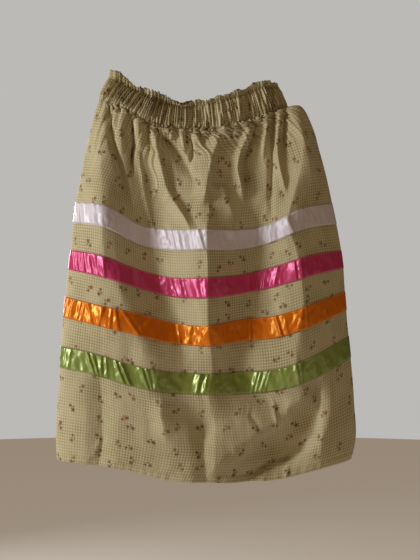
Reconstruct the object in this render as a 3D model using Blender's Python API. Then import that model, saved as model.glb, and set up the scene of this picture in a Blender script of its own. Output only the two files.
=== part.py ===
"""Ribbon skirt: a gathered cotton tube with an elastic waistband and four satin ribbons.

The skirt hangs from two held points on the top edge of its waistband, so the waist sags between
them and the cloth falls in three broad flutes on each side. Every ring round the skirt is worked
out from its outline, its sag, its flutes and its folds, and the walls are lofted between rings.

Frame: X to the wearer's left as seen from the front (screen right), Y to the back, Z up, origin
midway between the two held points. Tables and sizes are in millimetres, the mesh is in metres.
"""
import math

import bpy
import numpy as np

MM = 0.001

# ---------------------------------------------------------------- driving sizes, mm
SEAM_GAP = 0.3            # between pieces that are sewn together
PANEL_WALL = 1.5
HEM_WALL = 2.4            # the turned hem is two layers
HEM_TURN = 12.0           # height of the turned hem
BAND_WALL = 2.6           # casing: two layers of cotton
RIBBON_WALL = 1.0

WAIST_SEAM_Z = -107.0     # lowest point of the waist seam, at the middle of the front
SKIRT_DROP = 698.0        # waist seam to hem at the middle of the front
BACK_LIFT = 7.0           # the middle of the back hangs this much higher than the front
ROUNDING = 2.6            # superellipse power of every ring: flat front and back, round sides

RIBBON_WIDTH = 40.0
RIBBON_PITCH = 94.2
FIRST_RIBBON = 202.0      # waist seam to the top edge of the white ribbon
RIBBONS = ("white", "pink", "orange", "green")

PLEATS = 36               # gathers in the waistband across the front, and as many across the back
PLEAT_DEPTH = 4.6
PLEAT_JITTER = 0.22       # unevenness of the gathers, in pleats
PLEAT_SHOULDER = 0.24     # from the groove to the pleat's flat crest, in pleats
RIPPLE_END = 36.0         # the small gathers have run out this far below the waist seam
HEADER_RAGGED = 2.5       # up and down of the header's top edge

BROAD_COLUMNS = 52        # columns across the front below the gathers
DENSE = 1200              # samples on each half ring before it is divided into columns

# ---------------------------------------------------------------- outline, mm
# drop below the waist seam; left and right edge; half depth of the ring at its middle
LEVEL = [
    # drop   left    right  half_depth
    (0.0,   -184.0, 192.0, 24.0),
    (16.0,  -191.0, 217.0, 29.0),
    (50.0,  -200.0, 244.0, 37.0),
    (100.0, -212.0, 258.0, 42.0),
    (150.0, -222.0, 269.0, 45.0),
    (200.0, -232.0, 280.0, 46.0),
    (295.0, -243.0, 298.0, 46.0),
    (389.0, -253.0, 306.0, 48.0),
    (484.0, -261.0, 313.0, 50.0),
    (600.0, -269.0, 324.0, 52.0),
    (670.0, -272.0, 326.0, 54.0),
    (698.0, -270.0, 318.0, 54.0),
]

# height above the middle of the front, at each eighth of the width from left to right
EIGHTHS = np.linspace(0.0, 1.0, 9)
RISE = [
    # drop   left  1/8   2/8   3/8  mid  5/8  6/8   7/8   right
    (0.0,   (57.0, 39.0, 13.0, 1.0, 0.0, 1.0, 15.0, 27.0, 43.0)),
    (16.0,  (58.0, 40.0, 13.0, 1.0, 0.0, 1.0, 15.0, 34.0, 62.0)),
    (60.0,  (57.0, 41.0, 13.0, 1.0, 0.0, 1.0, 14.0, 38.0, 58.0)),
    (200.0, (56.0, 46.0, 11.0, 0.0, 0.0, 0.0, 10.0, 41.0, 54.0)),
    (295.0, (56.0, 43.0, 16.0, 0.0, 0.0, 5.0, 21.0, 43.0, 54.0)),
    (389.0, (57.0, 41.0, 26.0, 6.0, 0.0, 11.0, 20.0, 43.0, 66.0)),
    (484.0, (53.0, 39.0, 18.0, 4.0, 0.0, 2.0, 10.0, 36.0, 72.0)),
    (698.0, (39.0, 34.0, 24.0, 8.0, 3.0, 0.0, 6.0, 23.0, 41.0)),
]

# top edge of the header at the same eighths: the band leans outwards at its two held ends
HEADER_X = (-160.0, -112.0, -82.0, -40.0, 4.0, 48.0, 92.0, 132.0, 174.0)
HEADER_Z = (14.0, -16.0, -29.0, -46.0, -51.0, -42.0, -28.0, -12.0, -11.0)
HEADER_HALF_DEPTH = 22.0
# share of the way down the band; depth of the gathers there, as a share of PLEAT_DEPTH
BAND_ROW = [
    ("header top", 0.0, 1.15),
    ("header stitching", 0.25, 0.7),
    ("casing middle", 0.62, 1.1),
    ("waist seam", 1.0, 0.9),
]

# ---------------------------------------------------------------- flutes and folds, mm
# the three broad ridges and the two valleys between them: place across, height over the ring
FLUTE = [
    # drop   ridge A        valley A       ridge B       valley B       ridge C
    (0.0,   (-165.0, 0.0), (-80.0, 0.0),  (26.0, 0.0),  (110.0, 0.0),  (178.0, 0.0)),
    (100.0, (-176.0, 12.0), (-100.0, -12.0), (20.0, 14.0), (110.0, -10.0), (190.0, 12.0)),
    (200.0, (-174.0, 24.0), (-84.0, -24.0), (30.0, 26.0), (118.0, -22.0), (190.0, 22.0)),
    (295.0, (-170.0, 22.0), (-70.0, -24.0), (32.0, 26.0), (114.0, -22.0), (208.0, 24.0)),
    (389.0, (-126.0, 16.0), (-34.0, -18.0), (32.0, 20.0), (106.0, -20.0), (218.0, 22.0)),
    (484.0, (-90.0, 14.0), (-10.0, -2.0), (40.0, 2.0), (102.0, -20.0), (204.0, 16.0)),
    (580.0, (-90.0, 8.0), (14.0, -12.0), (58.0, 6.0), (150.0, -12.0), (232.0, 12.0)),
    (698.0, (-90.0, 8.0), (24.0, -14.0), (66.0, 8.0), (130.0, -8.0), (240.0, 12.0)),
]
CREST = 0.55              # 0 gives round crests, 1 creased ones

# folds of the gathered part and of the lower skirt: drop where each starts and ends, its place
# across at the start, middle and end, its half width, and its height (a valley is negative)
FOLD = [
    # start  end    x_start  x_mid   x_end   half_width  height
    (0.0,   215.0, -158.0, -150.0, -120.0, 14.0, -9.0),
    (4.0,   118.0, -138.0, -137.0, -126.0, 15.0, 8.0),
    (2.0,   118.0, -120.0, -118.0, -110.0, 11.0, -13.0),
    (16.0,  180.0, -72.0, -54.0, -16.0, 14.0, 11.0),
    (26.0,  130.0, -48.0, -28.0, -8.0, 17.0, -8.0),
    (60.0,  130.0, 10.0, 14.0, 12.0, 20.0, 8.0),
    (10.0,  145.0, 56.0, 44.0, 26.0, 13.0, -9.0),
    (2.0,   155.0, 108.0, 84.0, 96.0, 13.0, 10.0),
    (14.0,  140.0, 124.0, 104.0, 104.0, 12.0, -9.0),
    (4.0,   64.0, 146.0, 146.0, 146.0, 11.0, 7.0),
    (14.0,  215.0, 162.0, 156.0, 158.0, 12.0, -8.0),
    (8.0,   160.0, 178.0, 166.0, 184.0, 11.0, 8.0),
    (6.0,   185.0, 204.0, 210.0, 220.0, 24.0, 9.0),
    (500.0, 698.0, -172.0, -178.0, -180.0, 16.0, -6.0),
    (560.0, 690.0, 226.0, 190.0, 110.0, 30.0, -9.0),
]


def through(knots, values, at):
    """Smooth curve through a short table: a cubic between knots, with slopes from neighbours."""
    knots = np.asarray(knots, float)
    values = np.asarray(values, float)
    slopes = np.gradient(values, knots, axis=0)
    at = np.clip(np.asarray(at, float), knots[0], knots[-1])
    k = np.clip(np.searchsorted(knots, at, side="right") - 1, 0, len(knots) - 2)
    span = knots[k + 1] - knots[k]
    t = (at - knots[k]) / span
    shape = t.shape + (1,) * (values.ndim - 1)
    t = t.reshape(shape)
    span = span.reshape(shape)
    rest = 1.0 - t
    return (values[k] * (1.0 + 2.0 * t) * rest**2 + values[k + 1] * (1.0 + 2.0 * rest) * t**2
            + slopes[k] * span * t * rest**2 - slopes[k + 1] * span * rest * t**2)


def column(table, index):
    """One column of a table of rows."""
    return [row[index] for row in table]


def level(drop):
    """Left edge, right edge and half depth of the ring at a drop."""
    return through(column(LEVEL, 0), [row[1:] for row in LEVEL], drop)


def rise(drop, share):
    """Height above the middle of the front at a drop, for shares 0..1 of the width."""
    at_eighths = through(column(RISE, 0), column(RISE, 1), drop)
    return through(EIGHTHS, at_eighths, share)


def climb(t):
    """Way up from a round valley (0) to a fold's crest (1)."""
    return (1.0 - CREST) * t**2 * (3.0 - 2.0 * t) + CREST * t**1.6


def flutes(drop, x, left, right):
    """Height of the broad flutes over the ring, from ridge to valley across the width."""
    marks = through(column(FLUTE, 0), [row[1:] for row in FLUTE], drop)
    places = np.concatenate([[left], marks[:, 0], [right]])
    heights = np.concatenate([[0.0], marks[:, 1], [0.0]])
    k = np.clip(np.searchsorted(places, x, side="right") - 1, 0, len(places) - 2)
    t = np.clip((x - places[k]) / (places[k + 1] - places[k]), 0.0, 1.0)
    up = heights[k + 1] > heights[k]
    share = np.where(up, climb(t), 1.0 - climb(1.0 - t))
    return heights[k] + (heights[k + 1] - heights[k]) * share


def folds(drop, x):
    """Height of the smaller folds: each is a bell across its path, faded in and out along it."""
    height = np.zeros_like(x)
    for start, end, x_start, x_mid, x_end, half_width, top in FOLD:
        along = (drop - start) / (end - start)
        if not 0.0 < along < 1.0:
            continue
        path = through((0.0, 0.5, 1.0), (x_start, x_mid, x_end), along)
        fade = math.sin(math.pi * along) ** 0.5
        away = np.clip(np.abs(x - path) / half_width, 0.0, 1.0)
        height += top * fade * 0.5 * (1.0 + np.cos(math.pi * away))
    return height


def half_depth_profile(share):
    """Superellipse: 0 at both sides, 1 at the middle."""
    return (1.0 - np.abs(2.0 * share - 1.0) ** ROUNDING) ** (1.0 / ROUNDING)


def dense_shares():
    """Shares of the width, closer together at the round sides."""
    return 0.5 * (1.0 - np.cos(np.linspace(0.0, math.pi, DENSE)))


def skirt_half(drop, back):
    """Dense half ring below the waist seam, left to right on the front, right to left behind."""
    share = dense_shares()
    left, right, half_depth = level(drop)
    # the back has the front's folds turned round: its own left is the front's right
    own = 1.0 - share if back else share
    x = left + (right - left) * share
    own_x = left + (right - left) * own
    relief = flutes(drop, own_x, left, right) + folds(drop, own_x)
    side_fade = np.clip(half_depth_profile(share) * 1.6, 0.0, 1.0)
    depth = half_depth * half_depth_profile(share) + relief * side_fade
    z = WAIST_SEAM_Z - drop + rise(drop, share)
    if back:
        z = z + BACK_LIFT * np.sin(math.pi * share)
        return np.column_stack([x, depth, z])[::-1]
    return np.column_stack([x, -depth, z])


def band_half(way_down, back):
    """Dense half ring of the waistband, from the header's top edge (0) to the waist seam (1)."""
    share = dense_shares()
    left, right, seam_half_depth = level(0.0)
    top = np.column_stack([through(EIGHTHS, HEADER_X, share), through(EIGHTHS, HEADER_Z, share)])
    seam = np.column_stack([left + (right - left) * share, WAIST_SEAM_Z + rise(0.0, share)])
    x, z = (top + (seam - top) * way_down).T
    half_depth = HEADER_HALF_DEPTH + (seam_half_depth - HEADER_HALF_DEPTH) * way_down
    depth = half_depth * half_depth_profile(share)
    if back:
        z = z + BACK_LIFT * np.sin(math.pi * share)
        return np.column_stack([x, depth, z])[::-1]
    return np.column_stack([x, -depth, z])


def divide(line, fractions):
    """Points at the given fractions of a dense line's length."""
    steps = np.linalg.norm(np.diff(line, axis=0), axis=1)
    length = np.concatenate([[0.0], np.cumsum(steps)])
    at = np.asarray(fractions) * length[-1]
    return np.column_stack([np.interp(at, length, line[:, axis]) for axis in range(3)])


def pleat_columns():
    """Fractions round half a ring, and the relief at each: a groove, then a flat-topped pleat."""
    number = np.arange(PLEATS + 1)
    wander = 0.65 * np.sin(2.3 * number + 0.4) + 0.35 * np.sin(5.9 * number)
    grooves = number + PLEAT_JITTER * wander
    grooves[0] = 0.0
    grooves[-1] = PLEATS
    widths = np.diff(grooves)
    fullness = 0.85 + 0.3 * np.sin(3.7 * number[:-1] + 1.0)
    groove = grooves[:-1]
    places = np.column_stack([groove, groove + PLEAT_SHOULDER * widths,
                              groove + (1.0 - PLEAT_SHOULDER) * widths])
    relief = np.column_stack([np.zeros(PLEATS), fullness, fullness])
    return (np.append(places.ravel(), PLEATS) / PLEATS, np.append(relief.ravel(), 0.0))


def grid_normals(front, back, level_only=False):
    """Outward normals of a closed grid of rings, given as its front and back halves."""
    ring = np.concatenate([front[:, :-1], back[:, :-1]], axis=1)
    along = np.roll(ring, -1, axis=1) - np.roll(ring, 1, axis=1)
    down = np.broadcast_to((0.0, 0.0, -1.0), ring.shape) if level_only else np.gradient(ring, axis=0)
    normals = np.cross(down, along)
    normals /= np.linalg.norm(normals, axis=2, keepdims=True)
    columns = front.shape[1]
    return normals[:, :columns], np.concatenate([normals[:, columns - 1:], normals[:, :1]], axis=1)


def seam_ends(rows):
    """The half's first and last column, drawn in by half the seam gap."""
    for first, second in ((0, 1), (-1, -2)):
        inward = rows[:, second] - rows[:, first]
        inward[:, 0] = 0.0        # the side seams part front from back, along Y only
        inward[:, 2] = 0.0
        rows[:, first] += 0.5 * SEAM_GAP * np.sign(inward)
    return rows


def waistband():
    """Outer and inner rows of the waistband's two halves: pleats outside, plain inside."""
    fractions, relief = pleat_columns()
    halves = []
    plain = [np.array([divide(band_half(way_down, back), fractions)
                       for _, way_down, _ in BAND_ROW]) for back in (False, True)]
    normals = grid_normals(*plain, level_only=True)
    ragged = HEADER_RAGGED * np.sin(1.9 * np.arange(len(fractions))) * np.sin(math.pi * fractions)
    for rows, out in zip(plain, normals):
        outer = rows.copy()
        for row, (_, _, share) in enumerate(BAND_ROW):
            outer[row] += out[row] * (PLEAT_DEPTH * share * relief)[:, None]
        inner = rows - out * BAND_WALL
        for sheet in (outer, inner):
            sheet[0, :, 2] += ragged
            sheet[-1, :, 2] += SEAM_GAP
        halves.append((seam_ends(outer), seam_ends(inner)))
    return halves


def panel_drops():
    """Rows of the panel below the gathers: a row on each ribbon's two edges."""
    drops = [RIPPLE_END, 64.0, 92.0, 124.0, 160.0]
    for number in range(len(RIBBONS)):
        top = FIRST_RIBBON + RIBBON_PITCH * number
        drops += [top, top + RIBBON_WIDTH]
    drops += [580.0, 636.0, SKIRT_DROP - HEM_TURN, SKIRT_DROP]
    return drops


def panels():
    """Gathered rows and broad rows of the two panels, as outer and inner points, with normals."""
    fractions, relief = pleat_columns()
    gather_drops = (0.0, 12.0, RIPPLE_END)
    plain = [np.array([divide(skirt_half(drop, back), fractions) for drop in gather_drops])
             for back in (False, True)]
    level_out = grid_normals(*plain, level_only=True)
    wall_out = grid_normals(*plain)
    even = np.linspace(0.0, 1.0, BROAD_COLUMNS + 1)
    drops = panel_drops()
    broad = [np.array([divide(skirt_half(drop, back), even) for drop in drops])
             for back in (False, True)]
    broad_normals = grid_normals(*broad)
    walls = np.full(len(drops), PANEL_WALL)
    walls[-2:] = HEM_WALL
    halves = []
    for half in range(2):
        top = plain[half][:2].copy()
        for row in range(2):
            fade = 1.0 - gather_drops[row] / RIPPLE_END
            depth = PLEAT_DEPTH * BAND_ROW[-1][2] * fade * relief
            top[row] += level_out[half][row] * depth[:, None]
        inward = -wall_out[half][:2]
        inward[0, :, 2] = np.minimum(inward[0, :, 2], 0.0)    # stays under the waistband
        top_inner = plain[half][:2] + inward * PANEL_WALL
        outer = broad[half]
        inner = outer - broad_normals[half] * walls[:, None, None]
        halves.append({
            "gathers": (seam_ends(top), seam_ends(top_inner)),
            "outer": seam_ends(outer),
            "inner": seam_ends(inner),
            "normals": broad_normals[half],
            "drops": drops,
        })
    return halves


def zip_rows(upper, lower, upper_start, lower_start):
    """Triangles between two rows, whose points may be unequal in number, facing outwards."""
    faces = []
    i = j = 0
    while i < upper - 1 or j < lower - 1:
        next_upper = (i + 1) / (upper - 1)
        next_lower = (j + 1) / (lower - 1)
        if i < upper - 1 and (j == lower - 1 or next_upper < next_lower - 1e-9):
            faces.append((upper_start + i, lower_start + j, upper_start + i + 1))
            i += 1
        else:
            faces.append((upper_start + i, lower_start + j, lower_start + j + 1))
            j += 1
    return faces


def wall(outer_rows, inner_rows):
    """Closed wall between two sheets of rows: both sheets, the top and bottom rims, the ends."""
    counts = [len(row) for row in outer_rows]
    starts = np.concatenate([[0], np.cumsum(counts)])
    points = np.concatenate(list(outer_rows) + list(inner_rows))
    shift = int(starts[-1])
    faces = []
    for row in range(len(counts) - 1):
        sheet = zip_rows(counts[row], counts[row + 1], int(starts[row]), int(starts[row + 1]))
        faces += sheet
        faces += [(c + shift, b + shift, a + shift) for a, b, c in sheet]
        upper, lower = int(starts[row]), int(starts[row + 1])
        faces += [(upper, upper + shift, lower + shift), (upper, lower + shift, lower)]
        upper += counts[row] - 1
        lower += counts[row + 1] - 1
        faces += [(upper, lower + shift, upper + shift), (upper, lower, lower + shift)]
    for column_number in range(counts[0] - 1):
        a, b = column_number, column_number + 1
        faces += [(a, b, b + shift), (a, b + shift, a + shift)]
    last = int(starts[-2])
    for column_number in range(counts[-1] - 1):
        a, b = last + column_number, last + column_number + 1
        faces += [(a, a + shift, b + shift), (a, b + shift, b)]
    return points, faces


def finish(name, colour, roughness):
    """Fabric material."""
    material = bpy.data.materials.new(name)
    material.use_nodes = True
    shader = material.node_tree.nodes["Principled BSDF"]
    shader.inputs["Base Color"].default_value = (*colour, 1.0)
    shader.inputs["Roughness"].default_value = roughness
    shader.inputs["Metallic"].default_value = 0.0
    return material


def add_piece(name, points, faces, material, collection):
    """One named object from points in millimetres."""
    mesh = bpy.data.meshes.new(name)
    mesh.from_pydata((points * MM).tolist(), [], faces)
    mesh.materials.append(material)
    mesh.shade_smooth()
    piece = bpy.data.objects.new(name, mesh)
    collection.objects.link(piece)
    return piece


def build():
    """All pieces, in a collection of their own."""
    for leftover in list(bpy.data.objects):
        bpy.data.objects.remove(leftover)
    collection = bpy.data.collections.new("ribbon_skirt")
    bpy.context.scene.collection.children.link(collection)

    cotton = finish("printed_cotton", (0.60, 0.54, 0.34), 0.9)
    satin = {
        "white": finish("white_satin", (0.86, 0.80, 0.82), 0.35),
        "pink": finish("pink_satin", (0.72, 0.05, 0.20), 0.35),
        "orange": finish("orange_satin", (0.86, 0.24, 0.01), 0.35),
        "green": finish("green_satin", (0.22, 0.34, 0.05), 0.35),
    }

    for side, (outer, inner) in zip(("front", "back"), waistband()):
        add_piece(f"waistband_{side}", *wall(outer, inner), cotton, collection)

    for side, panel in zip(("front", "back"), panels()):
        gathers_outer, gathers_inner = panel["gathers"]
        add_piece(f"panel_{side}", *wall([*gathers_outer, *panel["outer"]],
                                         [*gathers_inner, *panel["inner"]]), cotton, collection)
        for number, colour in enumerate(RIBBONS):
            row = panel["drops"].index(FIRST_RIBBON + RIBBON_PITCH * number)
            below = panel["outer"][row:row + 2]
            out = panel["normals"][row:row + 2]
            inner = below + out * SEAM_GAP
            outer = below + out * (SEAM_GAP + RIBBON_WALL)
            add_piece(f"ribbon_{colour}_{side}", *wall(outer, inner), satin[colour], collection)


build()
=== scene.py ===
"""Ribbon skirt: a gathered skirt of printed cotton, with an elastic waistband and four ribbons.

The skirt hangs from two held points on the top edge of its waistband. Tables and sizes are in
millimetres unless a comment says otherwise, meshes and materials are in metres.
"""

import math

import bpy
import numpy as np
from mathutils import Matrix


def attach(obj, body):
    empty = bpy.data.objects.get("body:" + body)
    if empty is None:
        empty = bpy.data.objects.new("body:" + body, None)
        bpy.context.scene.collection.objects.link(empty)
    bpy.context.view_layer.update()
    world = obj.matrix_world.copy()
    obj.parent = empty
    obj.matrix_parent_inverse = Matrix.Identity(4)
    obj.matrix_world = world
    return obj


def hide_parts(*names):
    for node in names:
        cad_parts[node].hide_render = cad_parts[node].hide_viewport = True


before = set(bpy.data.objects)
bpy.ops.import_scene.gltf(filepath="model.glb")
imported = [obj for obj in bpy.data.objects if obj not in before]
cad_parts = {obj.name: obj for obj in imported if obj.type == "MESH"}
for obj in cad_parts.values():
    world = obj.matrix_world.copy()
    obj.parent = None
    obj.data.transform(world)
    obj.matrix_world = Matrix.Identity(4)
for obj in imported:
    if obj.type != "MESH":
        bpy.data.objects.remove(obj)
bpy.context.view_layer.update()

# ---------------------------------------------------------------- the two panels
# Two equal widths of plain-weave cotton, printed with a fine olive gingham and small dark blossoms,
# joined at the sides and gathered into the waistband. Each hangs in three broad flutes. Smaller
# folds start in the gathers and run out above the first ribbon, and the hem is turned up narrowly.
MM = 0.001
WAIST_SEAM_Z = -107.0        # lowest point of the waist seam, at the middle of the front
SKIRT_DROP = 698.0           # waist seam to hem at the middle of the front
BACK_LIFT = 7.0              # the middle of the back hangs this much higher
HEM_TURN = 12.0
ROUNDING = 2.6               # superellipse power of each ring: flat front and back, round sides
PANEL_WIDTH = 650.0          # cut width of one panel
CLOTH_THICKNESS = 0.7
PLEAT_DEPTH = 6.0
BAND_HEIGHT = 64.0
CASING_HEIGHT = 48.0         # from the waist seam to the stitching under the header

# the rings: their left and right edge, and half their depth
LEVEL = [
    # drop left  right half_depth
    (0,    -184, 192,  24),
    (16,   -191, 212,  29),
    (50,   -200, 238,  37),
    (100,  -212, 255,  42),
    (150,  -222, 269,  45),
    (200,  -232, 280,  46),
    (295,  -243, 298,  46),
    (389,  -253, 306,  48),
    (484,  -261, 313,  50),
    (600,  -269, 324,  52),
    (670,  -272, 326,  54),
    (698,  -270, 318,  54),
]
EIGHTHS = np.linspace(0.0, 1.0, 9)
# how far each ring rises over its level at eighths of its width
RISE = [
    # drop  left 1/8 2/8 3/8 mid 5/8 6/8 7/8 right
    (0,    (57,  39, 13, 1,  0,  1,  15, 27, 43)),
    (16,   (58,  40, 13, 1,  0,  1,  15, 34, 62)),
    (60,   (57,  41, 13, 1,  0,  1,  14, 38, 58)),
    (200,  (56,  46, 11, 0,  0,  0,  10, 41, 54)),
    (295,  (56,  43, 16, 0,  0,  5,  21, 43, 54)),
    (389,  (57,  41, 26, 6,  0,  11, 20, 43, 66)),
    (484,  (53,  39, 18, 4,  0,  2,  10, 36, 72)),
    (698,  (39,  34, 24, 8,  3,  0,  6,  23, 41)),
]
# the three ridges and the two valleys between them: place across, height over the ring
FLUTE = [
    # drop ridge A     valley A    ridge B   valley B    ridge C
    (0,    (-165, 0),  (-80, 0),   (26, 0),  (110, 0),   (178, 0)),
    (60,   (-178, 8),  (-88, -11), (20, 3),  (110, -5),  (216, 14)),
    (100,  (-178, 13), (-86, -17), (20, 5),  (110, -8),  (218, 17)),
    (160,  (-176, 19), (-84, -22), (34, 12), (116, -14), (204, 17)),
    (200,  (-174, 24), (-84, -24), (30, 26), (118, -22), (190, 18)),
    (295,  (-170, 22), (-70, -24), (32, 26), (114, -22), (208, 24)),
    (389,  (-126, 16), (-34, -18), (32, 20), (106, -20), (218, 22)),
    (484,  (-90, 14),  (-10, -2),  (40, 2),  (102, -20), (204, 16)),
    (530,  (-90, 10),  (-16, 0),   (32, 6),  (120, -17), (214, 10)),
    (580,  (-90, 8),   (20, -2),   (46, 7),  (210, -22), (250, 6)),
    (640,  (-94, 7),   (24, 6),    (44, 8),  (172, -34), (252, 7)),
    (698,  (-96, 7),   (26, 8),    (46, 9),  (132, -8),  (254, -3)),
]
# 0 rounds a slope of the flutes off, 1 creases it: left edge to ridge A, ridge A to valley A, ...
CREASED = (0.3, 0.3, 0.8, 0.8, 0.8, 0.5)
# folds and creases. The path has drop and place across at each of its knots; then come the width
# on the left and right side, the height (a valley is negative), 0 round to 1 creased, how many
# times wider it is at its end, and the share of its length over which it fades (0 runs off the hem)
FOLD = [
    (((0, -160), (34, -160), (72, -154), (112, -140), (150, -128), (200, -122)),
     14, 9, -12, 0.8, 1.3, 0.5),
    (((2, -139), (60, -139), (100, -134)), 12, 12, 6, 0.2, 1.0, 0.4),
    (((0, -120), (48, -117), (96, -119), (124, -114)), 7, 8, -20, 0.9, 1.0, 0.4),
    (((4, -105), (40, -104), (76, -104)), 12, 12, 8, 0.3, 1.2, 0.5),
    (((0, -81), (28, -78), (60, -75)), 20, 6, -20, 0.9, 1.0, 0.4),
    (((10, -75), (49, -68), (89, -58), (129, -46), (159, -26), (190, -8), (228, 2)),
     16, 10, 13, 1.0, 1.9, 0.25),
    (((60, -106), (110, -98), (160, -88), (226, -70)), 8, 6, 4, 0.8, 1.4, 0.3),
    (((112, 58), (141, 70), (171, 80), (205, 80), (228, 78)), 34, 16, 9, 0.7, 1.0, 0.25),
    (((14, -58), (40, -36), (78, -8), (120, 4)), 24, 12, -10, 0.8, 1.2, 0.4),
    (((0, 0), (60, 0), (80, -6)), 6, 6, -9, 0.9, 1.0, 0.3),
    (((12, 56), (57, 42), (101, 32), (137, 26), (166, 18)), 28, 9, 12, 1.0, 1.1, 0.3),
    (((2, 100), (21, 114), (33, 108), (61, 94), (81, 91), (111, 96), (140, 102), (156, 106)),
     16, 8, 13, 1.0, 1.0, 0.25),
    (((6, 126), (30, 122), (61, 106), (90, 104), (150, 108)), 7, 16, -12, 0.7, 1.2, 0.4),
    (((2, 151), (30, 148), (60, 142), (90, 139)), 12, 6, 10, 0.9, 1.0, 0.5),
    (((2, 165), (40, 160), (90, 158), (150, 157), (224, 158)), 10, 9, -10, 0.8, 1.2, 0.5),
    (((2, 177), (24, 173), (60, 169), (90, 170), (122, 176), (166, 188)), 9, 6, 10, 1.0, 1.0, 0.25),
    (((4, 187), (50, 182), (96, 181)), 6, 9, -10, 0.8, 1.0, 0.5),
    (((2, 209), (40, 219), (90, 228), (190, 238)), 40, 22, 20, 0.7, 1.1, 0.4),
    (((-12, 61), (40, 62), (90, 64)), 26, 120, 9, 1.0, 1.0, 0.8),
    (((0, -52), (26, -50)), 6, 5, 6, 1.0, 1.0, 0.7),
    (((0, -38), (34, -41)), 7, 5, 7, 1.0, 1.0, 0.6),
    (((0, -20), (58, -13)), 9, 6, 8, 1.0, 1.2, 0.5),
    (((0, 9), (36, 10)), 11, 8, 7, 1.0, 1.0, 0.6),
    (((0, 22), (30, 33)), 11, 7, 7, 1.0, 1.0, 0.6),
    (((0, 39), (24, 47)), 11, 7, 6, 1.0, 1.0, 0.6),
    (((0, 66), (30, 72)), 11, 8, 6, 1.0, 1.0, 0.6),
    (((0, 84), (32, 94)), 12, 8, 6, 1.0, 1.0, 0.6),
    (((0, 134), (40, 131)), 8, 6, 6, 1.0, 1.0, 0.6),
    (((520, -180), (600, -177), (655, -177), (722, -188)), 34, 34, -9, 0.9, 1.0, 0.0),
    (((640, -178), (672, -190), (694, -208)), 8, 6, 3, 0.9, 1.0, 0.4),
    (((574, 20), (625, 23), (722, 29)), 30, 40, -12, 1.0, 1.0, 0.0),
    (((536, -58), (562, -60), (594, -54), (644, -44)), 30, 86, 15, 1.0, 1.0, 0.6),
    (((540, 226), (560, 196), (587, 170), (606, 134), (628, 96), (650, 62), (680, 34), (722, 16)),
     130, 50, 14, 0.8, 1.0, 0.0),
    (((530, 246), (600, 248), (625, 240), (645, 220), (661, 204), (673, 150), (694, 116),
      (722, 104)), 56, 26, -20, 0.8, 1.0, 0.3),
    (((524, 256), (600, 257), (722, 252)), 10, 20, 10, 0.9, 2.4, 0.8),
    (((544, 160), (575, 166), (610, 168)), 8, 5, 4, 1.0, 1.0, 0.4),
    (((556, 104), (580, 124), (604, 144)), 7, 9, -4, 1.0, 1.0, 0.4),
    (((664, 152), (700, 140), (722, 136)), 8, 6, 3, 1.0, 1.0, 0.0),
    (((672, 192), (700, 184), (722, 180)), 10, 6, 3, 1.0, 1.0, 0.0),
]
# soft dents and swellings: place across, drop, half width, half length, height
DENT = [
    (24, 572, 40, 16, -4),
    (-40, 640, 50, 40, 4),
    (-120, 470, 26, 26, -3),
    (-166, 410, 34, 34, 8),
    (110, 450, 30, 24, 4),
    (60, 150, 26, 30, -5),
    (-100, 150, 20, 40, 4),
]
# columns across a panel, and rows: closer in the gathers than below them
COLUMNS = 370
ROW_DROPS = np.concatenate([np.linspace(0.0, 60.0, 30, endpoint=False),
                            np.linspace(60.0, 200.0, 38, endpoint=False),
                            np.linspace(200.0, SKIRT_DROP - 14.0, 50, endpoint=False),
                            SKIRT_DROP - np.array([14.0, 12.4, 11.4, 8.0, 4.0, 0.0])])
HEM_STITCHES = -5            # row that carries the stitching of the hem
DENSE = 1200                 # samples on each half ring before it is divided into columns


def through(knots, values, at):
    """Smooth curve through a short table: a cubic between knots, with slopes from neighbours."""
    knots = np.asarray(knots, float)
    values = np.asarray(values, float)
    slopes = np.gradient(values, knots, axis=0)
    at = np.clip(np.asarray(at, float), knots[0], knots[-1])
    k = np.clip(np.searchsorted(knots, at, side="right") - 1, 0, len(knots) - 2)
    shape = at.shape + (1,) * (values.ndim - 1)
    span = (knots[k + 1] - knots[k]).reshape(shape)
    t = (at - knots[k]).reshape(shape) / span
    rest = 1.0 - t
    return (values[k] * (1.0 + 2.0 * t) * rest**2 + values[k + 1] * (1.0 + 2.0 * rest) * t**2
            + slopes[k] * span * t * rest**2 - slopes[k + 1] * span * rest * t**2)


def table(rows, at):
    """All columns but the first of a table, read smoothly at values of its first column."""
    values = [row[1] if len(row) == 2 else row[1:] for row in rows]
    return through([row[0] for row in rows], values, at)


def flute_height(drop, x, left, right):
    """Height of the broad flutes: from each ridge to the next valley it follows t**2 (3 - 2 t),
    mixed with t**1.25 counted from the valley, which creases the crest."""
    marks = table(FLUTE, drop)
    edge = np.zeros((len(drop), 1))
    places = np.hstack([left, marks[:, :, 0], right])
    heights = np.hstack([edge, marks[:, :, 1], edge])
    height = np.zeros_like(x)
    for k in range(places.shape[1] - 1):
        start, end = places[:, k:k + 1], places[:, k + 1:k + 2]
        low, high = heights[:, k:k + 1], heights[:, k + 1:k + 2]
        t = np.clip((x - start) / (end - start), 0.0, 1.0)
        t = np.where(high > low, t, 1.0 - t)
        climb = (1.0 - CREASED[k]) * t**2 * (3.0 - 2.0 * t) + CREASED[k] * t**1.25
        value = np.minimum(low, high) + np.abs(high - low) * climb
        height = np.where(x >= start, value, height)
    return height


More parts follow.
